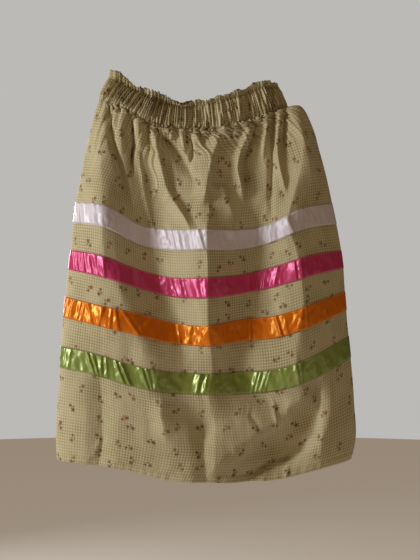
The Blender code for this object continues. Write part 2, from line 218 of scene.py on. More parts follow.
def fold_height(drop, x):
    """Height of smaller folds. Across, each is a bell from its path out to its two widths, mixed
    with a sharp tent as far as it is crisp; along, it grows in the first eighth and fades away at
    its end. A dent is exp(-r**2), with r counted in its half width and half length."""
    height = np.zeros_like(x)
    for knots, left, right, top, crisp, wider, fading in FOLD:
        drops, places = np.array(knots, float).T
        along = ((drop - drops[0]) / (drops[-1] - drops[0]))[:, None]
        path = through(drops, places, drop)[:, None]
        widths = np.where(x < path, left, right) * (1.0 + (wider - 1.0) * np.clip(along, 0.0, 1.0))
        inside = np.clip(1.0 - np.abs(x - path) / widths, 0.0, 1.0)
        bell = (1.0 - crisp) * 0.5 * (1.0 - np.cos(math.pi * inside)) + crisp * inside**1.4
        grow = np.clip(along / 0.12, 0.0, 1.0)
        gone = np.clip((1.0 - along) / max(fading, 1e-6), 0.0, 1.0)
        life = grow * (2.0 - grow) * gone**2 * (3.0 - 2.0 * gone)
        height += np.where((along > 0.0) & (along < 1.0), top * life * bell, 0.0)
    for place, deepest, half_width, half_length, top in DENT:
        height += top * np.exp(-((x - place) / half_width) ** 2
                               - ((drop - deepest) / half_length)[:, None] ** 2)
    return height


def divide(lines, fractions):
    """Points at the given fractions of each dense line's length."""
    steps = np.linalg.norm(np.diff(lines, axis=1), axis=2)
    lengths = np.concatenate([np.zeros((len(lines), 1)), np.cumsum(steps, axis=1)], axis=1)
    return np.array([[np.interp(fractions * length[-1], length, line[:, axis]) for axis in range(3)]
                     for line, length in zip(lines, lengths)]).transpose(0, 2, 1)


def profile(share):
    """Superellipse: 0 at both sides, 1 at the middle."""
    return (1.0 - np.abs(2.0 * share - 1.0) ** ROUNDING) ** (1.0 / ROUNDING)


def skirt_half(drop, fractions, back):
    """Half of the skirt's rings, one row for each drop: a superellipse between the left and right
    edge, raised by the flutes and folds and lifted by the rise. The front runs left to right, the
    back right to left, and the back has the front's forms turned round."""
    share = 0.5 * (1.0 - np.cos(np.linspace(0.0, math.pi, DENSE)))[None, :]
    left, right, half_depth = [column[:, None] for column in table(LEVEL, drop).T]
    own_x = left + (right - left) * (1.0 - share if back else share)
    relief = flute_height(drop, own_x, left, right) + fold_height(drop, own_x)
    side_fade = np.clip(profile(share) * 1.6, 0.0, 1.0)
    depth = half_depth * profile(share) + relief * side_fade
    z = WAIST_SEAM_Z - drop[:, None] + through(EIGHTHS, table(RISE, drop).T, share[0]).T
    if back:
        z = z + BACK_LIFT * np.sin(math.pi * share)
    dense = np.stack([left + (right - left) * share, depth if back else -depth, z], axis=2)
    return divide(dense[:, ::-1] if back else dense, fractions)


NORMAL_PASSES = 8


def outward(front, back, level_only=False):
    """Unit normals of both halves, from the closed grid of rings that they make together. They are
    evened out along each ring, so that the relief they carry doesn't cross in a narrow valley."""
    ring = np.concatenate([front[:, :-1], back[:, :-1]], axis=1)
    along = np.roll(ring, -1, axis=1) - np.roll(ring, 1, axis=1)
    down = np.gradient(ring, axis=0)
    if level_only:
        down = np.broadcast_to((0.0, 0.0, -1.0), ring.shape)
    normals = np.cross(down, along)
    normals /= np.linalg.norm(normals, axis=2, keepdims=True)
    for _ in range(NORMAL_PASSES):
        beside = np.roll(normals, 1, axis=1) + np.roll(normals, -1, axis=1)
        normals = 0.5 * normals + 0.25 * beside
    normals /= np.linalg.norm(normals, axis=2, keepdims=True)
    columns = front.shape[1]
    return normals[:, :columns], np.concatenate([normals[:, columns - 1:], normals[:, :1]], axis=1)


# grooves between the gathers: place across at the waist seam, left to right
GROOVES = (-176, -167, -158, -147, -136, -126, -114, -102, -92, -84, -78, -73, -67, -61, -54, -48,
           -43, -37, -32, -26, -20, -15, -9, -3, 3, 9, 14, 20, 27, 34, 41, 47, 54, 61, 66, 73, 80,
           88, 95, 102, 108, 114, 120, 127, 135, 142, 149, 156, 161, 166, 171, 176, 181, 187)
# how far the gathers lean along the band from its bottom to its top, at fractions of the half ring
LEAN = [(0.0, 0.030), (0.12, 0.056), (0.25, 0.040), (0.36, 0.01), (0.5, 0.0), (0.80, 0.0),
        (1.0, -0.006)]
# how full the gathers are across the front, at fractions of the half ring
FULLNESS = [(0.0, 1.5), (0.1, 2.2), (0.2, 2.0), (0.3, 1.4), (0.4, 0.9), (0.55, 0.7), (0.7, 0.5),
            (0.82, 0.6), (0.9, 1.4), (1.0, 1.3)]


def groove_places(seam_x):
    """Fractions of the half ring at which the grooves lie, from the seam's own places across."""
    places = np.interp(GROOVES, seam_x, np.linspace(0.0, 1.0, len(seam_x)))
    return np.concatenate([[0.0], places, [1.0]])


def gathers(drop, own, fractions, back):
    """Relief of the gathers at drops below the waist seam, which are negative in the waistband.
    Over each gather it is its fullness times sin(pi t**skew)**0.85, with t from groove to groove;
    the grooves sway and lean, those of the header start afresh over the stitching, and below the
    seam each gather dies away over its own length."""
    draw = np.random.default_rng(37 if back else 12)
    own = own + back * draw.uniform(-0.005, 0.005, len(own))
    sway, phase = draw.uniform(-0.0035, 0.0035, len(own)), draw.uniform(0.0, 6.3, len(own))
    fullness = draw.uniform(0.4, 1.6, len(own) - 1) * (0.8 if back else table(FULLNESS, own[:-1]))
    skew = draw.uniform(0.6, 1.5, len(own) - 1)
    length = draw.uniform(16.0, 28.0, len(own) - 1) * draw.choice((1.0, 1.0, 2.2), len(own) - 1)
    lean, kink = table(LEAN, own), draw.uniform(-0.009, 0.009, len(own))
    relief = np.zeros((len(drop), len(fractions)))
    for row, below in enumerate(drop):
        leant = lean * np.clip(-below, 0.0, CASING_HEIGHT + 2.0) / BAND_HEIGHT
        places = own + sway * np.sin(below / 21.0 + phase) + leant
        places = places + kink * np.clip((-below - CASING_HEIGHT) / 5.0, 0.0, 1.0)
        places[[0, -1]] = 0.0, 1.0
        places = np.maximum.accumulate(places)
        k = np.clip(np.searchsorted(places, fractions, side="right") - 1, 0, len(fullness) - 1)
        t = np.clip((fractions - places[k]) / np.maximum(places[k + 1] - places[k], 1e-6), 0.0, 1.0)
        life = np.exp(-(max(below, 0.0) / length) ** 1.1)
        relief[row] = (fullness * life)[k] * np.sin(math.pi * t ** skew[k]) ** 0.85
    return relief


RIPPLES = 26


def ripples(drop, fractions, back):
    """Soft waves into which the gathers run together below the waistband: each has its own place,
    drift, width, length and height, drawn from a seeded generator."""
    draw = np.random.default_rng(41 if back else 23)
    height = np.zeros((len(drop), len(fractions)))
    for number in range(RIPPLES):
        place = (number + 0.5 + draw.uniform(-0.35, 0.35)) / RIPPLES
        drift, width = draw.uniform(-0.02, 0.02), draw.uniform(0.006, 0.012)
        length, top = draw.uniform(34.0, 120.0), draw.uniform(1.8, 5.0)
        along = np.clip(drop / length, 0.0, 1.0)[:, None]
        away = (fractions[None, :] - place - drift * along) / (width * (1.0 + along))
        grow = np.clip(drop / 9.0, 0.0, 1.0)[:, None]
        height += top * grow * (1.0 - along) ** 1.3 * np.exp(-np.abs(away) ** 1.3)
    return height


LONG_WAVES = 10


def unevenness(drop, fractions, back):
    """Soft unevenness of hanging cloth: long waves, each with its own direction, length and
    phase from a seeded generator, of which two neighbours bend each other."""
    draw = np.random.default_rng(77 if back else 58)
    x = fractions[None, :] * PANEL_WIDTH
    height, bend = np.zeros((len(drop), len(fractions))), 0.0
    for _ in range(LONG_WAVES):
        length, turn = draw.uniform(55.0, 170.0), draw.normal(0.0, 0.5)
        phase = draw.uniform(0.0, 6.3)
        run = x * math.cos(turn) + drop[:, None] * math.sin(turn)
        bend = np.sin(math.tau * run / length + phase + 0.9 * bend)
        height += 0.0042 * length * bend
    return height


def panel_relief(drop, fractions, back):
    """What stands out from the plain form of a panel: the gathers and the ripples below them,
    soft unevenness, and the double cloth of the hem, which its stitching puckers. All vanish at
    the side seams, which lie in a narrow groove exp(-(distance / 3 mm)**2)."""
    pinch = 0.75 + 0.45 * np.clip(drop / 6.0, 0.0, 1.0)[:, None]
    height = PLEAT_DEPTH * pinch * np.minimum(gathers(drop, own_grooves, fractions, back), 1.15)
    height = height + ripples(drop, fractions, back)
    height = height + np.clip(drop / 60.0, 0.0, 1.0)[:, None] * unevenness(drop, fractions, back)
    turned = np.clip(drop - SKIRT_DROP + HEM_TURN + 0.4, 0.0, 1.0)[:, None]
    x = fractions[None, :] * PANEL_WIDTH
    height = height + turned * (0.6 + 0.35 * np.sin(x / 2.6 + 2.0 * np.sin(x / 31.0)))
    height = height * np.sin(math.pi * fractions)[None, :] ** 0.35
    seam = np.minimum(x, PANEL_WIDTH - x) / 3.0
    return height - 1.2 * np.exp(-(seam**2))


def add_grid(name, points, uv, material):
    """One piece from a grid of points in millimetres, with its own UV map in metres of cloth."""
    rows, columns = points.shape[:2]
    index = np.arange(rows * columns).reshape(rows, columns)
    quads = np.stack([index[:-1, :-1], index[1:, :-1], index[1:, 1:], index[:-1, 1:]], axis=2)
    quads = quads.reshape(-1, 4)
    mesh = bpy.data.meshes.new(name)
    mesh.from_pydata((points * MM).reshape(-1, 3), [], quads)
    layer = mesh.uv_layers.new(name="cloth")
    layer.data.foreach_set("uv", uv.reshape(-1, 2)[quads.ravel()].astype(np.float32).ravel())
    mesh.shade_smooth()
    mesh.materials.append(material)
    piece = bpy.data.objects.new(name, mesh)
    bpy.context.scene.collection.objects.link(piece)
    return piece


def thicken(piece, thickness):
    """Gives a sheet its wall, inwards from the face that shows."""
    wall = piece.modifiers.new("wall", "SOLIDIFY")
    wall.thickness = thickness * MM
    wall.offset = -1.0
    wall.use_even_offset = False
    return piece


class Nodes:
    """Short way to write a node tree around its shader."""

    def __init__(self, owner, shader):
        owner.use_nodes = True
        self.owner = owner
        self.tree = owner.node_tree
        self.shader = self.tree.nodes[shader]

    def add(self, kind, inputs=(), **settings):
        """One node with its settings; an input is linked to a socket or set to a value."""
        node = self.tree.nodes.new(kind)
        for key, value in settings.items():
            setattr(node, key, value)
        for socket, value in dict(inputs).items():
            if isinstance(value, bpy.types.NodeSocket):
                self.tree.links.new(value, node.inputs[socket])
            else:
                node.inputs[socket].default_value = value
        return node

    def math(self, operation, *values):
        return self.add("ShaderNodeMath", enumerate(values), operation=operation).outputs[0]

    def vector(self, operation, *values):
        node = self.add("ShaderNodeVectorMath", enumerate(values), operation=operation)
        return node.outputs["Value" if operation == "LENGTH" else "Vector"]

    def ramp(self, value, low, high, to_low=0.0, to_high=1.0, way="SMOOTHSTEP"):
        """The value, carried from low..high to to_low..to_high."""
        inputs = {0: value, 1: low, 2: high, 3: to_low, 4: to_high}
        return self.add("ShaderNodeMapRange", inputs, interpolation_type=way).outputs[0]

    def mix(self, share, first, second):
        """Colour: the first at share 0, the second at share 1."""
        inputs = {0: share, 6: first, 7: second}
        return self.add("ShaderNodeMix", inputs, data_type="RGBA").outputs[2]

    def stretch(self, vector, scale):
        return self.add("ShaderNodeMapping", {"Vector": vector, "Scale": scale}).outputs[0]

    def noise(self, vector, scale, detail=2.0, roughness=0.5):
        inputs = {"Vector": vector, "Scale": scale, "Detail": detail, "Roughness": roughness}
        return self.add("ShaderNodeTexNoise", inputs).outputs[0]

    def bump(self, height, distance, normal=None):
        inputs = {"Height": height, "Distance": distance, "Strength": 1.0}
        if normal is not None:
            inputs["Normal"] = normal
        return self.add("ShaderNodeBump", inputs).outputs[0]

    def link(self, value, socket):
        """Leads a value into the shader."""
        self.tree.links.new(value, self.shader.inputs[socket])

    def fix(self, **sockets):
        """Sets the shader's own sockets."""
        for name, value in sockets.items():
            self.shader.inputs[name.replace("_", " ")].default_value = value


def new_material(name):
    """A material with a plain shader, for its nodes to be added."""
    return Nodes(bpy.data.materials.new(name), "Principled BSDF")


CHECK_REPEAT = 0.0054        # metres
SPRIG_SPACING = 0.041
THREAD_PITCH = 0.00045
IVORY = (0.65, 0.57, 0.355, 1.0), (0.715, 0.625, 0.405, 1.0)     # darkest and palest
OLIVE = (0.35, 0.30, 0.135, 1.0)
INK = (0.11, 0.05, 0.015, 1.0), (0.26, 0.09, 0.03, 1.0)          # brown to rust
# place and radius of two blossoms and a bud, in spacings of the pairs
BLOSSOMS = [
    ((0.115, 0.02, 0.0), 0.098),
    ((-0.12, 0.0, 0.0), 0.078),
    ((0.0, 0.13, 0.0), 0.045),
]
BARE_SHARE = 0.12            # of the places that carry no pair


def blossom(nodes, local, centre, radius):
    """1 inside a small flower with five petals: its edge is radius (1 + 0.22 cos 5 angle)."""
    arm = nodes.vector("SUBTRACT", local, centre)
    axes = nodes.add("ShaderNodeSeparateXYZ", {0: arm})
    angle = nodes.math("ARCTAN2", axes.outputs[1], axes.outputs[0])
    edge = nodes.math("MULTIPLY_ADD", nodes.math("COSINE", nodes.math("MULTIPLY", angle, 5.0)),
                      0.22 * radius, radius)
    inside = nodes.math("DIVIDE", nodes.vector("LENGTH", arm), edge)
    return nodes.ramp(inside, 0.5, 1.3, 1.0, 0.0)


def printed_cotton():
    """Plain-weave cotton: ivory, crossed by olive stripes that are darkest where they cross, with
    pairs of small dark blossoms scattered over it, each pair turned its own way."""
    nodes = new_material("printed_cotton")
    uv = nodes.add("ShaderNodeUVMap", uv_map="cloth").outputs[0]
    axes = nodes.add("ShaderNodeSeparateXYZ", {0: uv})
    stripes = []
    for axis in (0, 1):
        wave = nodes.math("PINGPONG", axes.outputs[axis], CHECK_REPEAT / 2)
        stripes.append(nodes.ramp(wave, CHECK_REPEAT * 0.17, CHECK_REPEAT * 0.33))
    crossed = nodes.math("MULTIPLY", nodes.math("ADD", *stripes), 0.5)
    cloudy = nodes.noise(uv, 9.0, 3.0)
    faded = nodes.ramp(nodes.noise(uv, 16.0, 3.0), 0.35, 0.65, 0.5, 1.0)
    colour = nodes.mix(nodes.math("MULTIPLY", crossed, faded), nodes.mix(cloudy, *IVORY), OLIVE)

    cells = nodes.add("ShaderNodeVectorMath", {0: uv, "Scale": 1.0 / SPRIG_SPACING},
                      operation="SCALE").outputs[0]
    scatter = nodes.add("ShaderNodeTexVoronoi", {"Vector": cells, "Scale": 1.0, "Randomness": 0.8},
                        voronoi_dimensions="2D")
    local = nodes.vector("SUBTRACT", cells, scatter.outputs["Position"])
    chance = nodes.add("ShaderNodeSeparateColor", {0: scatter.outputs["Color"]})
    turn = nodes.math("MULTIPLY", chance.outputs[0], math.tau)
    turned = nodes.add("ShaderNodeVectorRotate", {"Vector": local, "Angle": turn},
                       rotation_type="Z_AXIS").outputs[0]
    above = nodes.vector("SUBTRACT", turned, (0.0, 0.03, 0.0))
    bent = nodes.vector("LENGTH", nodes.vector("MULTIPLY", above, (0.36, 1.0, 0.0)))
    sprig = nodes.math("MULTIPLY", nodes.ramp(bent, 0.018, 0.05, 1.0, 0.0),
                       nodes.ramp(chance.outputs[2], 0.45, 0.75, 0.0, 0.5))
    for centre, radius in BLOSSOMS:
        sprig = nodes.math("MAXIMUM", sprig, blossom(nodes, turned, centre, radius))
    kept = nodes.math("GREATER_THAN", chance.outputs[1], BARE_SHARE)
    inked = nodes.math("MULTIPLY_ADD", chance.outputs[2], 0.3, 0.6)
    sprig = nodes.math("MULTIPLY", nodes.math("MULTIPLY", sprig, kept), inked)
    ink = nodes.mix(chance.outputs[0], *INK)
    nodes.link(nodes.mix(sprig, colour, ink), "Base Color")

    around = math.tau / THREAD_PITCH
    weave = [nodes.math("SINE", nodes.math("MULTIPLY", axes.outputs[axis], around))
             for axis in (0, 1)]
    slubs = nodes.noise(uv, 1400.0)
    threads = nodes.math("ADD", nodes.math("MULTIPLY", *weave), slubs)
    crumple = nodes.noise(nodes.stretch(uv, (55.0, 16.0, 1.0)), 1.0, 3.0, 0.55)
    drawn = nodes.noise(nodes.stretch(uv, (260.0, 15.0, 1.0)), 1.0)
    gathered = nodes.ramp(axes.outputs[1], -0.03, 0.004)
    soft = nodes.bump(crumple, 0.0016)
    soft = nodes.bump(nodes.math("MULTIPLY", drawn, gathered), 0.005, soft)
    nodes.link(nodes.bump(threads, 0.00006, soft), "Normal")
    nodes.link(nodes.ramp(slubs, 0.3, 0.7, 0.82, 0.92), "Roughness")
    nodes.fix(Sheen_Weight=0.12, Sheen_Roughness=0.5, Specular_IOR_Level=0.25)
    return nodes.owner


STITCH_PITCH = 3.2
STITCH_RADIUS = 0.35
BEAD = 4                     # rings in a bead, and points in a ring


def stitches(name, line, out, material):
    """A row of stitches along a line of points in millimetres. Each is a bead of four rings of
    four points, with radius r sin(pi t)**0.5 from end to end, its middle 0.35 r over the cloth."""
    steps = np.linalg.norm(np.diff(line, axis=0), axis=1)
    run = np.concatenate([[0.0], np.cumsum(steps)])
    share = np.array([0.06, 0.3, 0.7, 0.94])
    starts = np.arange(int(run[-1] / STITCH_PITCH)) * STITCH_PITCH
    at = starts[:, None] + STITCH_PITCH * (0.14 + 0.72 * share)[None, :]
    centre = np.stack([np.interp(at, run, line[:, axis]) for axis in range(3)], axis=2)
    up = np.stack([np.interp(at, run, out[:, axis]) for axis in range(3)], axis=2)
    up /= np.linalg.norm(up, axis=2, keepdims=True)
    side = np.cross(up, np.gradient(centre, axis=1))
    side /= np.linalg.norm(side, axis=2, keepdims=True)
    side, up, centre = side[:, :, None], up[:, :, None], centre[:, :, None]
    turn = np.linspace(0.0, math.tau, BEAD, endpoint=False)[None, None, :, None]
    round_off = STITCH_RADIUS * np.sin(math.pi * share)[None, :, None, None] ** 0.5
    points = centre + round_off * (np.cos(turn) * side + np.sin(turn) * up)
    points += 0.35 * STITCH_RADIUS * up
    index = np.arange(len(at) * BEAD**2).reshape(-1, BEAD, BEAD)
    after = np.roll(index, -1, axis=2)
    walls = np.stack([index[:, :-1], after[:, :-1], after[:, 1:], index[:, 1:]], axis=3)
    faces = np.concatenate([walls.reshape(-1, 4), index[:, 0, ::-1], index[:, -1]])
    mesh = bpy.data.meshes.new(name)
    mesh.from_pydata((points * MM).reshape(-1, 3), [], faces)
    mesh.shade_smooth()
    mesh.materials.append(material)
    row = bpy.data.objects.new(name, mesh)
    bpy.context.scene.collection.objects.link(row)
    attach(row, "root")


def thread(name, colour):
    """Matt sewing thread with a fine ply."""
    nodes = new_material(name)
    place = nodes.add("ShaderNodeTexCoord").outputs["Object"]
    ply = nodes.noise(place, 1500.0)
    paler = tuple(min(1.0, 1.15 * c) for c in colour)
    nodes.link(nodes.mix(ply, (*colour, 1.0), (*paler, 1.0)), "Base Color")
    nodes.link(nodes.bump(ply, 0.0001), "Normal")
    nodes.fix(Roughness=0.7, Sheen_Weight=0.2)
    return nodes.owner


SIDES = ("front", "back")
cotton = printed_cotton()
khaki = thread("khaki_thread", (0.46, 0.40, 0.23))
fractions = np.linspace(0.0, 1.0, COLUMNS + 1)
panel_plain = [skirt_half(ROW_DROPS, fractions, back) for back in (False, True)]
own_grooves = groove_places(panel_plain[0][0, :, 0])
for back, (plain, out) in enumerate(zip(panel_plain, outward(*panel_plain))):
    side = SIDES[back]
    points = plain + out * panel_relief(ROW_DROPS, fractions, bool(back))[:, :, None]
    u, v = np.meshgrid((fractions + back) * PANEL_WIDTH, -ROW_DROPS)
    cloth = thicken(add_grid(f"cloth_{side}", points, np.stack([u, v], axis=2) * MM, cotton),
                    CLOTH_THICKNESS)
    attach(cloth, "root")
    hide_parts(f"panel_{side}")
    stitches(f"stitches_hem_{side}", points[HEM_STITCHES], out[HEM_STITCHES], khaki)

# ---------------------------------------------------------------- the waistband
# A strip of the same cotton folded over a 45 mm elastic, which gathers it. It is stitched above
# and below the elastic, so that a narrow ruffled header stands over the casing.
HEADER_HALF_DEPTH = 22.0
BAND_THICKNESS = 1.4
BAND_COLUMNS = 660
BAND_ROWS = 40
HEADER_SHARE = 0.24          # of the way down, where the upper stitching lies
CASING_SHARE = 0.96          # where the lower stitching lies
WIDEST_GATHER = 13.0         # of cloth, past which the elastic draws a gather in two
CRUSH_DEPTH = 0.7            # of the small unevenness of the crowded cloth
CRUSH_KNOTS = (121, 8)       # of that unevenness, along the band and down it
# top edge of the header at eighths of its width: place across, and height
HEADER_X = (-159, -112, -82, -40, 4, 48, 92, 130, 168)
HEADER_Z = (14, -16, -29, -46, -51, -42, -28, -12, -11)
# share of the way down, depth of the gathers, bulge over the plain band
BAND_SECTION = [
    (0.00, 1.40, 3.6),
    (0.10, 1.30, 1.6),
    (0.19, 0.90, -2.0),
    (0.24, 0.75, -3.0),
    (0.33, 1.00, 0.2),
    (0.45, 1.15, 1.6),
    (0.65, 1.15, 1.9),
    (0.85, 1.05, 1.2),
    (0.96, 0.70, -0.8),
    (1.00, 0.75, 0.0),
]
# how far the header's top leans outwards and up, at fractions of the half ring
HEADER_FLARE = [
    (0.0, -1, -5), (0.04, 1, -3), (0.06, 2, 0), (0.08, 2, 3), (0.1, 2, -2), (0.125, 1, -5),
    (0.16, 1, -8), (0.22, 1, -6), (0.32, 1, -3), (0.4, -2, -6), (0.43, -4, -14), (0.47, -3, -12),
    (0.5, -1, -4), (0.58, -1, -5), (0.68, 1, -5), (0.78, 3, -6), (0.9, 2, -6), (1.0, -2, -9),
]
# parts of the header that lie over to one side, on the front: place across of the ridge, width
# of its left and right face, how far the ridge stands out
HEADER_OVER = [
    (-146, 14, 5, 7),
    (-116, 12, 4, 9),
    (-88, 10, 4, 8),
    (-69, 6, 3, 6),
    (-53, 7, 3, 6),
    (-35, 12, 5, 8),
    (-1, 5, 4, 6),
    (14, 5, 4, 6),
    (38, 10, 4, 3),
    (54, 8, 4, 3),
    (90, 20, 6, 7),
    (151, 36, 4, 13),
    (163, 10, 5, 7),
]
# creases of their own in the band: place across at its top and bottom, width of the left and right
# face, height (a valley is negative)
BAND_FOLD = [
    (58, 62, 26, 120, 9),
    (-150, -176, 12, 5, 5),
    (-132, -158, 8, 4, -6),
    (-118, -142, 6, 4, -5),
    (-104, -132, 5, 3, 4),
    (-94, -104, 6, 4, -5),
    (-74, -84, 6, 3, 4),
    (-52, -56, 5, 4, -5),
    (-24, -22, 5, 3, 3.5),
    (0, 2, 6, 6, -5),
    (28, 30, 5, 3, 3),
    (52, 60, 4, 3, 3.5),
    (86, 98, 6, 3, 4),
    (108, 120, 12, 5, -6),
    (136, 148, 9, 4, 4),
    (152, 164, 5, 4, -5),
]


def band_half(way_down, fractions, back):
    """Half of the waistband's plain rings: straight lines from its top edge to the waist seam."""
    share = 0.5 * (1.0 - np.cos(np.linspace(0.0, math.pi, DENSE)))
    left, right, seam_depth = table(LEVEL, np.zeros(1))[0]
    top = np.stack([through(EIGHTHS, HEADER_X, share), through(EIGHTHS, HEADER_Z, share)], axis=1)
    lift = through(EIGHTHS, table(RISE, np.zeros(1)).T, share)[:, 0]
    seam = np.stack([left + (right - left) * share, WAIST_SEAM_Z + lift], axis=1)
    flat = top[None] + (seam - top)[None] * way_down[:, None, None]
    half_depth = HEADER_HALF_DEPTH + (seam_depth - HEADER_HALF_DEPTH) * way_down
    depth = half_depth[:, None] * profile(share)[None, :]
    z = flat[:, :, 1] + back * BACK_LIFT * np.sin(math.pi * share)[None, :]
    dense = np.stack([flat[:, :, 0], depth if back else -depth, z], axis=2)
    return divide(dense[:, ::-1] if back else dense, fractions)


def tent(away, left, right):
    """1 on a ridge, and down in a straight line to 0 at its left and right width."""
    return np.clip(1.0 - np.abs(away) / np.where(away < 0.0, left, right), 0.0, 1.0)


band_fractions = np.linspace(0.0, 1.0, BAND_COLUMNS + 1)
way_down = np.linspace(0.0, 1.0, BAND_ROWS + 1)
band_plain = [band_half(way_down, band_fractions, back) for back in (False, True)]
crushed = np.random.default_rng(9).normal(0.0, 1.0, (2, *CRUSH_KNOTS))
knots_along, knots_down = [np.linspace(0.0, 1.0, count) for count in CRUSH_KNOTS]
depth_share, bulge = table(BAND_SECTION, way_down).T
flare, lift = table(HEADER_FLARE, band_fractions).T
header = np.clip(1.0 - way_down / HEADER_SHARE, 0.0, 1.0)[:, None]
middles = 0.5 * (own_grooves[1:] + own_grooves[:-1])
halved = middles[np.diff(own_grooves) * PANEL_WIDTH > WIDEST_GATHER]
band_grooves = np.sort(np.concatenate([own_grooves, halved]))
for back, (plain, out) in enumerate(zip(band_plain, outward(*band_plain, level_only=True))):
    side = SIDES[back]
    above = (way_down - 1.0) * BAND_HEIGHT
    relief = gathers(above, own_grooves, band_fractions, bool(back))
    finer = gathers(above, band_grooves, band_fractions, bool(back))
    relief += np.clip(5.0 * (1.0 - way_down), 0.0, 1.0)[:, None] * (finer - relief)
    fade = np.sin(math.pi * band_fractions)[None, :] ** 0.35
    own_x = -plain[:, :, 0] if back else plain[:, :, 0]
    over = sum(height * tent(own_x[0] - ridge, left, right)
               for ridge, left, right, height in HEADER_OVER)
    relief = relief * (1.0 - 0.7 * header * np.clip(over / 6.0, 0.0, 1.0)[None, :])
    proud = (PLEAT_DEPTH * depth_share[:, None] * relief + bulge[:, None]) * fade + 0.5
    uneven = through(knots_along, crushed[back], band_fractions)
    proud += CRUSH_DEPTH * fade * through(knots_down, uneven.T, way_down)
    wavering = 3.0 * np.sin(5.0 * way_down)[:, None]
    for top, bottom, left, right, height in BAND_FOLD:
        away = own_x - top - (bottom - top) * way_down[:, None] - wavering
        proud += height * tent(away, left, right)
    points = plain + out * (proud + header * (flare + over)[None, :])[:, :, None]
    frill = 1.6 * np.sin(61.0 * band_fractions + 2.0 * back)
    frill = frill + 3.0 * np.clip(relief[0] - 0.6, -0.6, 0.9)
    points[:, :, 2] += header * (lift + 0.3 * over + frill * fade[0])[None, :]
    u, v = np.meshgrid((band_fractions + back) * PANEL_WIDTH, (1.0 - way_down) * BAND_HEIGHT)
    band = thicken(add_grid(f"band_{side}", points, np.stack([u, v], axis=2) * MM, cotton),
                   BAND_THICKNESS)
    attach(band, "root")
    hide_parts(f"waistband_{side}")
    for edge, share in (("header", HEADER_SHARE), ("casing", CASING_SHARE)):
        row = round(share * BAND_ROWS)
        stitches(f"stitches_{edge}_{side}", points[row], out[row], khaki)

# ---------------------------------------------------------------- the four ribbons
# Single-face polyester satin ribbon, 40 mm wide, laid round the skirt in four rows and sewn along
# both edges, so that it puckers a little between the stitches.
RIBBON_WIDTH = 40.0
RIBBON_PITCH = 94.2
FIRST_RIBBON = 202.0         # drop of its upper edge
RIBBON_LIFT = 0.3            # over the cotton
RIBBON_THICKNESS = 0.3
RIBBON_COLUMNS = 440
RIBBON_ROWS = 12
SEWN_ROW = 0.6               # rows from each edge to its stitching
RIBBON_COLOUR = {
    "white": (0.80, 0.73, 0.80),
    "pink": (0.66, 0.040, 0.16),
    "orange": (0.80, 0.165, 0.005),
    "green": (0.215, 0.28, 0.048),
}
GLINT_COLOUR = {
    "white": (0.25, 0.25, 0.28),
    "pink": (0.95, 0.34, 0.56),
    "orange": (0.9, 0.50, 0.10),
    "green": (0.85, 1.0, 0.48),
}
